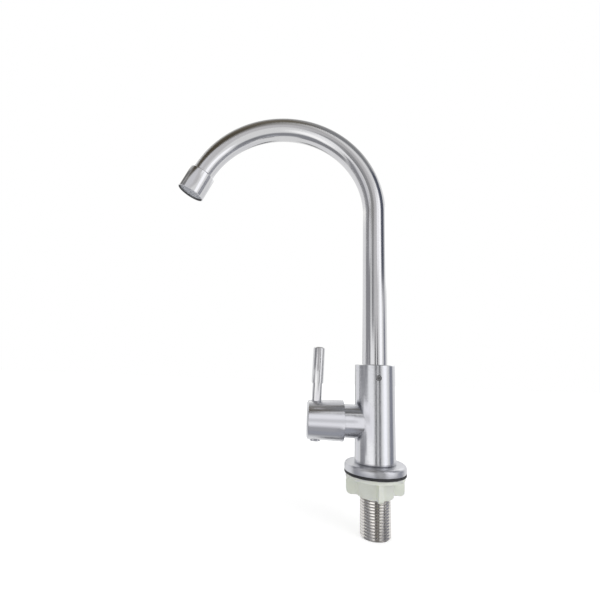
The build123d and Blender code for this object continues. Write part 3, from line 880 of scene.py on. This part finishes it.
class FAUCET_OT_lock_nut(Operator):
    """Mould the plastic lock nut with its brim and finger wings"""

    bl_idname = "faucet.lock_nut"
    bl_label = "Lock nut"

    def execute(self, context):
        sizes = context.scene.faucet_sizes
        bore = THREAD_R + sizes.slip_gap
        hub = sizes.nut_hub / 2
        brim = half_width("lock_nut")
        brim_low = NUT_HIGH.z - sizes.nut_brim
        points = [
            (bore - OVERCUT, NUT_LOW.z),
            (hub, NUT_LOW.z),
            (hub, brim_low),
            (brim, brim_low),
            (brim, NUT_HIGH.z),
            (bore - OVERCUT, NUT_HIGH.z),
        ]
        nut = turned("nut_moulding", points, ring=True)
        for index in range(sizes.wing_count):
            wing = self.wing(sizes, (bore + hub) / 2)
            placed(wing, Matrix.Rotation(2 * pi * index / sizes.wing_count, 4, "Z"))
            combined(nut, wing, "UNION")
        modified(nut, "REMESH", mode="VOXEL", voxel_size=sizes.nut_grain)
        modified(nut, "SMOOTH", factor=NUT_SMOOTHING, iterations=NUT_PASSES)
        drill = turned_rod("nut_drill", bore, NUT_LOW.z - OVERCUT, NUT_HIGH.z + OVERCUT)
        combined(nut, drill, "DIFFERENCE")
        finished(nut, "nut", "lock_nut", "milky plastic")
        return {"FINISHED"}

    def wing(self, sizes, root):
        """One wing along X, from inside the hub's wall, with its lower outer corner rounded."""
        low = NUT_LOW.z + sizes.wing_rise
        high = NUT_HIGH.z - sizes.nut_brim / 2
        reach = sizes.wing_span / 2
        centre = ((root + reach) / 2, 0, (low + high) / 2)
        spread = (reach - root, sizes.wing_thickness, high - low)
        wing = added(bpy.ops.mesh.primitive_cube_add, "nut_wing", size=1)
        placed(wing, Matrix.LocRotScale(centre, None, spread))

        def low_corner(place):
            return place.x > reach - MERGE_DISTANCE and place.z < low + MERGE_DISTANCE

        bevel_edges(wing, low_corner, sizes.wing_corner)
        return wing


class FAUCET_OT_base_rings(Operator):
    """Turn the base flange and mould the rubber gasket under it"""

    bl_idname = "faucet.base_rings"
    bl_label = "Flange and gasket"

    def execute(self, context):
        sizes = context.scene.faucet_sizes
        hole = THREAD_R + sizes.slip_gap
        recess = FLANGE_R - sizes.flange_rim
        roof = FLANGE_LOW.z + sizes.recess_depth
        steel = [
            (hole, roof),
            (recess, roof),
            (recess, FLANGE_LOW.z),
            (FLANGE_R, FLANGE_LOW.z),
            (FLANGE_R, FLANGE_HIGH.z),
            (hole, FLANGE_HIGH.z),
        ]
        flange = turned("flange_turning", steel, ring=True)
        round_rim(flange, FLANGE_R, FLANGE_HIGH.z, sizes.flange_round)
        rounded(flange, sizes.edge_round)
        finished(flange, "base", "base_flange", "flange steel")
        collar = recess - sizes.slip_gap
        soft = [
            (hole, GASKET_LOW.z),
            (FLANGE_R, GASKET_LOW.z),
            (FLANGE_R, FLANGE_LOW.z),
            (collar, FLANGE_LOW.z),
            (collar, roof),
            (hole, roof),
        ]
        gasket = turned("gasket_ring", soft, ring=True)
        rounded(gasket, sizes.edge_round)
        finished(gasket, "base", "deck_gasket", "black rubber")
        return {"FINISHED"}


class FAUCET_OT_gooseneck(Operator):
    """Draw the spout's tube and bend it round"""

    bl_idname = "faucet.gooseneck"
    bl_label = "Gooseneck"

    def execute(self, context):
        sizes = context.scene.faucet_sizes
        bend_low = bend_height(sizes)
        tube = added(
            bpy.ops.mesh.primitive_circle_add,
            "gooseneck",
            vertices=TURN_SIDES,
            radius=TUBE_R,
            location=(0, 0, TUBE_LOW.z),
        )
        edit(tube, "EDGE")
        pull((0, 0, bend_low - TUBE_LOW.z))
        bpy.ops.mesh.spin(
            steps=BEND_STEPS,
            angle=sizes.bend_sweep,
            center=(-sizes.bend_radius, 0, bend_low),
            axis=(0, 1, 0),
        )
        pull(outlet_axis(sizes).to_3x3() @ Vector((0, 0, sizes.tube_tail)))
        close_up()
        modified(tube, "SOLIDIFY", thickness=sizes.tube_wall, offset=-1.0)
        top = max(vertex.co.z for vertex in tube.data.vertices)
        if abs(top - TUBE_HIGH.z) > MERGE_DISTANCE:
            raise RuntimeError(f"the gooseneck ends at {top}, not at {TUBE_HIGH.z}")
        finished(tube, "spout", "spout_tube", "gooseneck steel")
        return {"FINISHED"}


class FAUCET_OT_aerator(Operator):
    """Turn the aerator's shell"""

    bl_idname = "faucet.aerator"
    bl_label = "Aerator"

    def execute(self, context):
        sizes = context.scene.faucet_sizes
        outer = sizes.aerator_diameter / 2
        mouth = outer - sizes.mouth_wall
        bore = sizes.aerator_bore / 2
        lip = sizes.lip_bore / 2
        lip_end = sizes.aerator_length - sizes.mouth_depth
        lip_start = lip_end - sizes.lip_thickness
        points = [
            (bore, 0),
            (outer, 0),
            (outer, sizes.aerator_length),
            (mouth, sizes.aerator_length),
            (mouth, lip_end),
            (lip, lip_end),
            (lip, lip_start),
            (bore, lip_start),
        ]
        shell = turned("aerator_shell", points, ring=True)
        round_rim(shell, outer, 0, sizes.shoulder_round)
        rounded(shell, sizes.rim_round)
        placed(shell, outlet_axis(sizes))
        finished(shell, "spout", "aerator_housing", "aerator steel")
        return {"FINISHED"}


class FAUCET_OT_screen(Operator):
    """Weave the wire screen in the aerator's mouth"""

    bl_idname = "faucet.screen"
    bl_label = "Wire screen"

    def execute(self, context):
        sizes = context.scene.faucet_sizes
        pitch = sizes.screen_pitch
        reach = half_width("aerator_screen") - sizes.screen_wire / 2
        count = int(reach / pitch)
        wave = self.wave(sizes, count + SPARE_CELLS)
        wires = []
        for index in range(-count, count + 1):
            half = (reach**2 - (index * pitch) ** 2) ** 0.5
            for turn in (0, 1):
                wire = self.cut_wire(wave, pitch * ((index + turn) % 2), half)
                across = Matrix.Translation((0, index * pitch * (1 - 2 * turn), 0))
                wires.append(placed(wire, Matrix.Rotation(turn * pi / 2, 4, "Z") @ across))
        bpy.data.objects.remove(wave)
        screen = wires[0]
        take(screen)
        for wire in wires:
            wire.select_set(True)
        bpy.ops.object.join()
        screen.name = "aerator_mesh"
        axis = outlet_axis(sizes)
        depth = (axis.inverted() @ middle("aerator_screen")).z
        placed(screen, axis @ Matrix.Translation((0, 0, depth)))
        finished(screen, "spout", "aerator_screen", "screen wire")
        return {"FINISHED"}

    def wave(self, sizes, cells):
        """One wire along X that passes over and under its neighbours."""
        rise = sizes.screen_wire / 2
        pitch = sizes.screen_pitch
        wave = added(
            bpy.ops.mesh.primitive_circle_add,
            "screen_wave",
            vertices=WIRE_SIDES,
            radius=sizes.screen_wire / 2,
            fill_type="NGON",
            location=(-cells * pitch, 0, rise * (-1) ** cells),
            rotation=(0, pi / 2, 0),
        )
        edit(wave, "EDGE")
        for cell in range(-cells, cells):
            pull((pitch, 0, -2 * rise * (-1) ** cell))
        close_up()
        return wave

    def cut_wire(self, wave, shift, half):
        """A copy of the wire, moved along itself and cut to a length on both sides of the middle."""
        take(wave)
        bpy.ops.object.duplicate(linked=False)
        wire = placed(bpy.context.object, Matrix.Translation((shift, 0, 0)))
        edit(wire, "EDGE")
        keep_between(-half, half, Vector((1, 0, 0)))
        bpy.ops.object.mode_set(mode="OBJECT")
        return wire


class FAUCET_OT_set_screw(Operator):
    """Turn the grub screw that holds the spout and broach its hexagon"""

    bl_idname = "faucet.set_screw"
    bl_label = "Set screw"

    def execute(self, context):
        sizes = context.scene.faucet_sizes
        radius = (SCREW_HIGH.x - SCREW_LOW.x) / 2
        inner = -SCREW_HIGH.y
        outer = -SCREW_LOW.y
        edge = sizes.edge_round
        points = [
            (0, inner),
            (radius - edge, inner),
            (radius, inner + edge),
            (radius, outer - edge),
            (radius - edge, outer),
            (0, outer),
        ]
        screw = turned("screw_turning", points)
        broach = added(
            bpy.ops.mesh.primitive_cylinder_add,
            "key_broach",
            vertices=HEXAGON_SIDES,
            radius=sizes.socket_key / 2 / cos(pi / HEXAGON_SIDES),
            depth=2 * sizes.socket_depth,
            location=(0, 0, outer),
        )
        combined(screw, broach, "DIFFERENCE")
        placed(screw, screw_axis())
        finished(screw, "base", "spout_set_screw", "screw steel")
        return {"FINISHED"}


class FAUCET_OT_handle(Operator):
    """Turn the handle cap, its lever and the plug under it"""

    bl_idname = "faucet.handle"
    bl_label = "Handle"

    def execute(self, context):
        sizes = context.scene.faucet_sizes
        taper = (sizes.cap_open - sizes.cap_end) / 2 / (CAP_HIGH.x - CAP_LOW.x)
        cap_top = sizes.cap_end / 2 + taper * (LEVER_X - CAP_LOW.x)
        self.add_cap(sizes, cap_top)
        self.add_plug(sizes)
        self.add_lever(sizes, cap_top)
        return {"FINISHED"}

    def add_cap(self, sizes, cap_top):
        """The tapered hollow cap with the holes for the lever's stem and the plug."""
        open_end = -CAP_HIGH.x
        closed_end = -CAP_LOW.x
        floor = closed_end - sizes.cap_floor
        edge = sizes.cap_edge
        cavity = sizes.cap_cavity / 2
        end_radius = sizes.cap_end / 2
        points = [
            (0, floor),
            (cavity, floor),
            (cavity, open_end),
            (sizes.cap_open / 2, open_end),
            (end_radius, closed_end - edge),
            (end_radius - edge, closed_end - sizes.cap_dome),
            (end_radius / 2, closed_end - sizes.cap_dome / 4),
            (0, closed_end),
        ]
        cap = turned("cap_turning", points)
        rounded(cap, sizes.edge_round)
        placed(cap, branch_axis())
        outside = 2 * cap_top
        stem = turned_rod("stem_hole", sizes.stem_diameter / 2, cap_top - sizes.stem_sink, outside)
        combined(cap, placed(stem, lever_axis(sizes)), "DIFFERENCE")
        plug_low = BRANCH_HEIGHT - PLUG_HIGH.z
        hole = turned_rod("plug_hole", half_width("handle_plug"), plug_low, outside)
        combined(cap, placed(hole, underside_axis()), "DIFFERENCE")
        finished(cap, "lever", "handle_cap", "cap steel")

    def add_plug(self, sizes):
        """The plug on the cap's underside, with a slightly domed face."""
        radius = half_width("handle_plug")
        low = BRANCH_HEIGHT - PLUG_HIGH.z
        high = BRANCH_HEIGHT - PLUG_LOW.z
        dome = sizes.edge_round
        points = [
            (0, low),
            (radius, low),
            (radius, high - 2 * dome),
            (radius - dome, high - dome / 2),
            (radius / 2, high - dome / 8),
            (0, high),
        ]
        plug = turned("plug_button", points)
        rounded(plug, sizes.edge_round / 2)
        placed(plug, underside_axis())
        finished(plug, "lever", "handle_plug", "plug steel")

    def add_lever(self, sizes, cap_top):
        """The lever rod with its slim stem, its step and its sloped tip."""
        stem = sizes.stem_diameter / 2
        grip = sizes.grip_diameter / 2
        foot = cap_top - sizes.stem_sink
        step = cap_top + sizes.grip_start
        top = cap_top + sizes.lever_rise
        points = [
            (0, foot),
            (stem, foot),
            (stem, step),
            (grip, step + sizes.grip_taper),
            (grip, top - sizes.lever_edge),
            (grip - sizes.lever_edge, top),
            (0, top),
        ]
        lever = turned("lever_turning", points)
        rounded(lever, sizes.edge_round)
        placed(lever, lever_axis(sizes))
        finished(lever, "lever", "lever_rod", "lever steel")


# Studio

# Name, azimuth, elevation, distance, width, height and the stage value that gives the brightness
LAMPS = (
    ("key box", 45, 8, 0.8, 0.5, 1.1, "key_level"),
    ("fill box", -35, -14, 0.5, 0.45, 0.16, "fill_level"),
)
# Name, left, right, lowest and highest angle seen from the faucet, distance, brightness, soft edge.
# Angles are in degrees: 0 is in front and they grow to the right and upwards.
CARDS = (
    ("key glow", 36, 64, -30, 42, 0.85, (1.52, 1.52, 1.56), 0.30),
    ("upper glow", 15, 38, 13, 38, 0.86, (1.32, 1.32, 1.35), 0.60),
    ("low glow", -64, -4, -47, -10, 0.80, (1.50, 1.49, 1.48), 0.75),
    ("body glow", -48, -13, -20, 8, 0.90, (1.22, 1.22, 1.23), 0.35),
    ("left flag", -104, -45, -12, 37, 0.80, (0.36, 0.36, 0.38), 0.25),
    ("low left flag", -104, -62, -75, -7, 0.80, (0.32, 0.32, 0.34), 0.40),
    ("left card", -38, -8, 1, 36, 0.82, (0.41, 0.41, 0.42), 0.45),
    ("front card", -14, 28, 0, 42, 0.86, (0.74, 0.73, 0.74), 0.30),
    ("left line", -33, -26, 2, 28, 0.78, (0.22, 0.22, 0.23), 0.60),
    ("upper left flag", -76, -3, 25, 68, 0.66, (0.10, 0.085, 0.062), 0.80),
    ("far front flag", -18, 30, 52, 76, 3.0, (0.10, 0.09, 0.08), 0.45),
    ("upper right flag", 56, 97, 9, 58, 0.80, (0.115, 0.125, 0.165), 0.40),
    ("right flag", 74, 110, -65, 18, 0.80, (0.33, 0.34, 0.395), 0.40),
    ("back glow", 112, 162, 12, 34, 0.85, (1.50, 1.50, 1.50), 0.40),
    ("back left glow", -178, -112, 28, 60, 0.85, (1.46, 1.45, 1.40), 0.40),
    ("rear glow", 128, 166, -52, 40, 0.90, (0.94, 0.94, 0.96), 0.30),
    ("rear line", 169, 182, -25, 12, 0.84, (0.25, 0.25, 0.26), 0.70),
    ("rear right line", 192, 206, -25, 12, 0.84, (0.27, 0.27, 0.28), 0.70),
    ("rear left glow", 212, 246, -52, 40, 0.90, (1.02, 1.02, 1.04), 0.30),
)
# Name, place of the middle, tilt, width, height, brightness, soft edges across and up of the others
PLACED_CARDS = (
    ("ceiling flag", (-0.26, -0.23, 0.77), 0, 0.72, 0.65, (0.20, 0.18, 0.145), 0.60, 0.60),
    ("right ceiling flag", (0.29, -0.17, 0.78), 0, 0.90, 0.65, (0.30, 0.305, 0.32), 0.60, 0.60),
    ("rear ceiling", (0.0, 0.15, 0.80), 0, 1.5, 0.90, (0.50, 0.495, 0.49), 0.80, 0.80),
    ("ground flag", (-0.03, -0.12, -0.15), 0, 0.90, 0.38, (0.34, 0.345, 0.37), 0.30, 0.60),
    ("rear ground flag", (0.0, 0.034, -0.085), 0, 0.090, 0.055, (0.30, 0.30, 0.31), 0.30, 0.30),
    ("front line", (-0.0068, -0.066, 0.025), 90, 0.018, 0.21, (0.10, 0.10, 0.105), 0.80, 0.50),
    ("right line", (0.016, -0.066, 0.025), 90, 0.020, 0.21, (0.12, 0.12, 0.13), 0.80, 0.50),
    ("shank flag", (0.0, -0.070, -0.06), 90, 0.044, 0.07, (0.26, 0.245, 0.23), 0.30, 0.20),
    ("shank right flag", (0.0575, -0.0377, -0.06), 90, 0.036, 0.06, (0.20, 0.20, 0.21), 0.30, 0.20),
    ("cap glow", (-0.036, -0.022, 0.0366), 90, 0.048, 0.0294, (1.20, 1.19, 1.22), 0.20, 0.585),
    ("cap line", (-0.0353, -0.0215, 0.0356), 90, 0.0495, 0.0095, (0.87, 0.865, 0.885), 0.20, 1.0),
    ("cap low flag", (-0.0408, -0.0225, 0.0198), 90, 0.0385, 0.0225, (0.50, 0.50, 0.52), 0.25, 0.30),
    ("branch glow", (-0.0138, -0.023, 0.033), 90, 0.0195, 0.0332, (1.20, 1.19, 1.22), 0.35, 0.566),
    ("under card", (-0.035, -0.035, -0.012), 0, 0.066, 0.050, (0.455, 0.465, 0.51), 0.20, 0.30),
    ("over card", (-0.033, 0.0045, 0.070), 0, 0.042, 0.017, (0.82, 0.82, 0.83), 0.20, 0.50),
    ("handle flag", (-0.0445, -0.020, 0.0805), 90, 0.016, 0.034, (0.60, 0.59, 0.60), 0.50, 0.25),
    ("aerator flag", (-0.197, -0.010, 0.250), 0, 0.064, 0.044, (0.24, 0.235, 0.23), 0.60, 0.60),
    ("aerator glow", (-0.185, -0.116, 0.257), 90, 0.14, 0.11, (0.86, 0.86, 0.89), 0.50, 0.50),
)
STAGE_CENTRE = Vector((-0.05, 0.0, 0.12))
FLOOR_SIZE = 6.0
FLOOR_GAP = 0.1 * MM
# Millimetres from the faucet between which the floor fades into the room
FLOOR_FADE = (60.0, 500.0)
NEAR_CLIP = 0.01
CARD_HALF = 0.5


def studio_place(azimuth, elevation, distance):
    """A place round the faucet. Azimuth 0 is in front and grows to the right."""
    turn = radians(azimuth)
    rise = radians(elevation)
    way = Vector((sin(turn) * cos(rise), -cos(turn) * cos(rise), sin(rise)))
    return STAGE_CENTRE + way * distance


def facing(place):
    """Turn of a lamp or card whose -Z looks at the faucet."""
    return (STAGE_CENTRE - place).to_track_quat("-Z", "Y").to_euler()


def seen_directly(wire):
    """1 for camera, glossy and transmission rays, 0 for the others."""
    rays = ("Is Camera Ray", "Is Glossy Ray", "Is Transmission Ray")
    camera, glossy, transmission = wire.node("ShaderNodeLightPath", output=rays)
    return camera.at_least(glossy).at_least(transmission)


class FAUCET_OT_stage(Operator):
    """Set up the camera, the pale floor, the soft boxes and the cards round the faucet"""

    bl_idname = "faucet.stage"
    bl_label = "Studio"

    def execute(self, context):
        stage = context.scene.faucet_stage
        context.scene.view_settings.view_transform = "Standard"
        self.add_camera(context.scene, stage)
        self.add_world(context.scene, stage)
        self.add_floor(context.scene, stage)
        for name, azimuth, elevation, distance, width, height, level in LAMPS:
            place = studio_place(azimuth, elevation, distance)
            self.add_lamp(name, place, width, height, getattr(stage, level))
        for card in CARDS:
            self.add_upright_card(*card)
        for name, place, tilt, *looks in PLACED_CARDS:
            self.add_card(name, Vector(place), (radians(tilt), 0, 0), *looks)
        return {"FINISHED"}

    def add_camera(self, scene, stage):
        """Camera at the photographed viewpoint."""
        clear_selection()
        bpy.ops.object.camera_add()
        camera = bpy.context.object
        flat = Vector((-sin(stage.eye_azimuth), -cos(stage.eye_azimuth), 0)) * stage.eye_distance
        camera.matrix_world = (
            Matrix.Translation(flat + Vector((0, 0, stage.eye_height)))
            @ Matrix.Rotation(stage.eye_heading, 4, "Z")
            @ Matrix.Rotation(pi / 2 + stage.eye_pitch, 4, "X")
            @ Matrix.Rotation(stage.eye_roll, 4, "Z")
        )
        camera.data.lens = camera.data.sensor_width * stage.focal_share
        camera.data.clip_start = NEAR_CLIP
        scene.camera = camera

    def add_world(self, scene, stage):
        """White room where it is seen or mirrored, dimmer as light on plain surfaces."""
        world = bpy.data.worlds.new("white room")
        scene.world = world
        world.use_nodes = True
        world.node_tree.nodes.clear()
        wire = Wire(world.node_tree)
        white = seen_directly(wire).between(stage.ambient, 1)
        room = wire.node("ShaderNodeBackground", {}, {"Color": white, "Strength": 1.0})
        end_paint(wire, room, "ShaderNodeOutputWorld")

    def add_floor(self, scene, stage):
        """Pale floor under the shank's foot. It keeps the shadow and fades into the room."""
        clear_selection()
        height = SHANK_LOW.z - FLOOR_GAP
        bpy.ops.mesh.primitive_plane_add(size=FLOOR_SIZE, location=(0, 0, height))
        floor = bpy.context.object
        floor.name = "floor"
        wire = new_paint("pale floor")
        tint = opaque(scene.faucet_colours.floor)
        diffuse = wire.node("ShaderNodeBsdfDiffuse", {}, {"Color": tint})
        across, along, _ = local_place(wire).split()
        away = (across * across + along * along).root().step(*FLOOR_FADE)
        lift = seen_directly(wire) * (stage.floor_lift + away * stage.floor_fade)
        glow = wire.node("ShaderNodeEmission", {}, {"Color": lift, "Strength": 1.0})
        end_paint(wire, wire.node("ShaderNodeAddShader", {}, {0: diffuse, 1: glow}))
        painted(floor.data, "pale floor")
        floor.visible_glossy = False

    def add_lamp(self, name, place, width, height, level):
        """A rectangular soft box whose face has the given brightness."""
        clear_selection()
        bpy.ops.object.light_add(type="AREA", location=place, rotation=facing(place))
        lamp = bpy.context.object
        lamp.name = name
        lamp.data.shape = "RECTANGLE"
        lamp.data.size = width
        lamp.data.size_y = height
        lamp.data.energy = level * pi * width * height
        lamp.visible_camera = False
        lamp.visible_glossy = False

    def add_upright_card(self, name, left, right, low, high, distance, tint, fade):
        """A card that covers a window of angles as seen from the faucet."""
        place = studio_place((left + right) / 2, (low + high) / 2, distance)
        width = 2 * distance * tan(radians(right - left) / 2)
        height = 2 * distance * tan(radians(high - low) / 2)
        self.add_card(name, place, facing(place), width, height, tint, fade, fade)

    def add_card(self, name, place, rotation, width, height, tint, fade_across, fade_up):
        """A card with soft edges that only shows as a reflection in the steel."""
        clear_selection()
        bpy.ops.mesh.primitive_plane_add(size=2 * CARD_HALF, location=place, rotation=rotation)
        card = bpy.context.object
        card.name = name
        card.scale = (width, height, 1)
        wire = new_paint(name)
        across, upward, _ = wire.node("ShaderNodeTexCoord", output="Object").split()
        sides = (CARD_HALF - across.size()).step(0.0, fade_across * CARD_HALF)
        ends = (CARD_HALF - upward.size()).step(0.0, fade_up * CARD_HALF)
        level = max(tint)
        light = {"Color": opaque(tint, 1 / level), "Strength": level}
        glow = wire.node("ShaderNodeEmission", {}, light)
        clear = wire.node("ShaderNodeBsdfTransparent")
        end_paint(wire, wire.node("ShaderNodeMixShader", {}, {0: sides * ends, 1: clear, 2: glow}))
        painted(card.data, name)
        for ray in ("camera", "diffuse", "transmission", "volume_scatter", "shadow"):
            setattr(card, f"visible_{ray}", False)


# Registration

GROUPS = {
    "faucet_sizes": FaucetSizes,
    "faucet_colours": FaucetColours,
    "faucet_stage": FaucetStage,
}
OPERATORS = (
    FAUCET_OT_finishes,
    FAUCET_OT_shank,
    FAUCET_OT_lock_nut,
    FAUCET_OT_base_rings,
    FAUCET_OT_gooseneck,
    FAUCET_OT_aerator,
    FAUCET_OT_screen,
    FAUCET_OT_set_screw,
    FAUCET_OT_handle,
    FAUCET_OT_stage,
)


class FAUCET_PT_panel(Panel):
    """Lists the faucet's operators, sizes, colours and stage values"""

    bl_idname = "FAUCET_PT_panel"
    bl_label = "Faucet"
    bl_space_type = "VIEW_3D"
    bl_region_type = "UI"
    bl_category = "Faucet"

    def draw(self, context):
        for operator in OPERATORS:
            self.layout.operator(operator.bl_idname)
        for name, group in GROUPS.items():
            column = self.layout.column()
            for key in group.__annotations__:
                column.prop(getattr(context.scene, name), key)


def register():
    for name, group in GROUPS.items():
        bpy.utils.register_class(group)
        setattr(bpy.types.Scene, name, PointerProperty(type=group))
    for kind in (*OPERATORS, FAUCET_PT_panel):
        bpy.utils.register_class(kind)


def unregister():
    for kind in reversed((*OPERATORS, FAUCET_PT_panel)):
        bpy.utils.unregister_class(kind)
    for name, group in reversed(GROUPS.items()):
        delattr(bpy.types.Scene, name)
        bpy.utils.unregister_class(group)


def main():
    """Builds the pieces in order."""
    register()
    bpy.ops.faucet.finishes()
    bpy.ops.faucet.shank()
    bpy.ops.faucet.lock_nut()
    bpy.ops.faucet.base_rings()
    bpy.ops.faucet.gooseneck()
    bpy.ops.faucet.aerator()
    bpy.ops.faucet.screen()
    bpy.ops.faucet.set_screw()
    bpy.ops.faucet.handle()
    bpy.ops.faucet.stage()


if __name__ == "__main__":
    main()
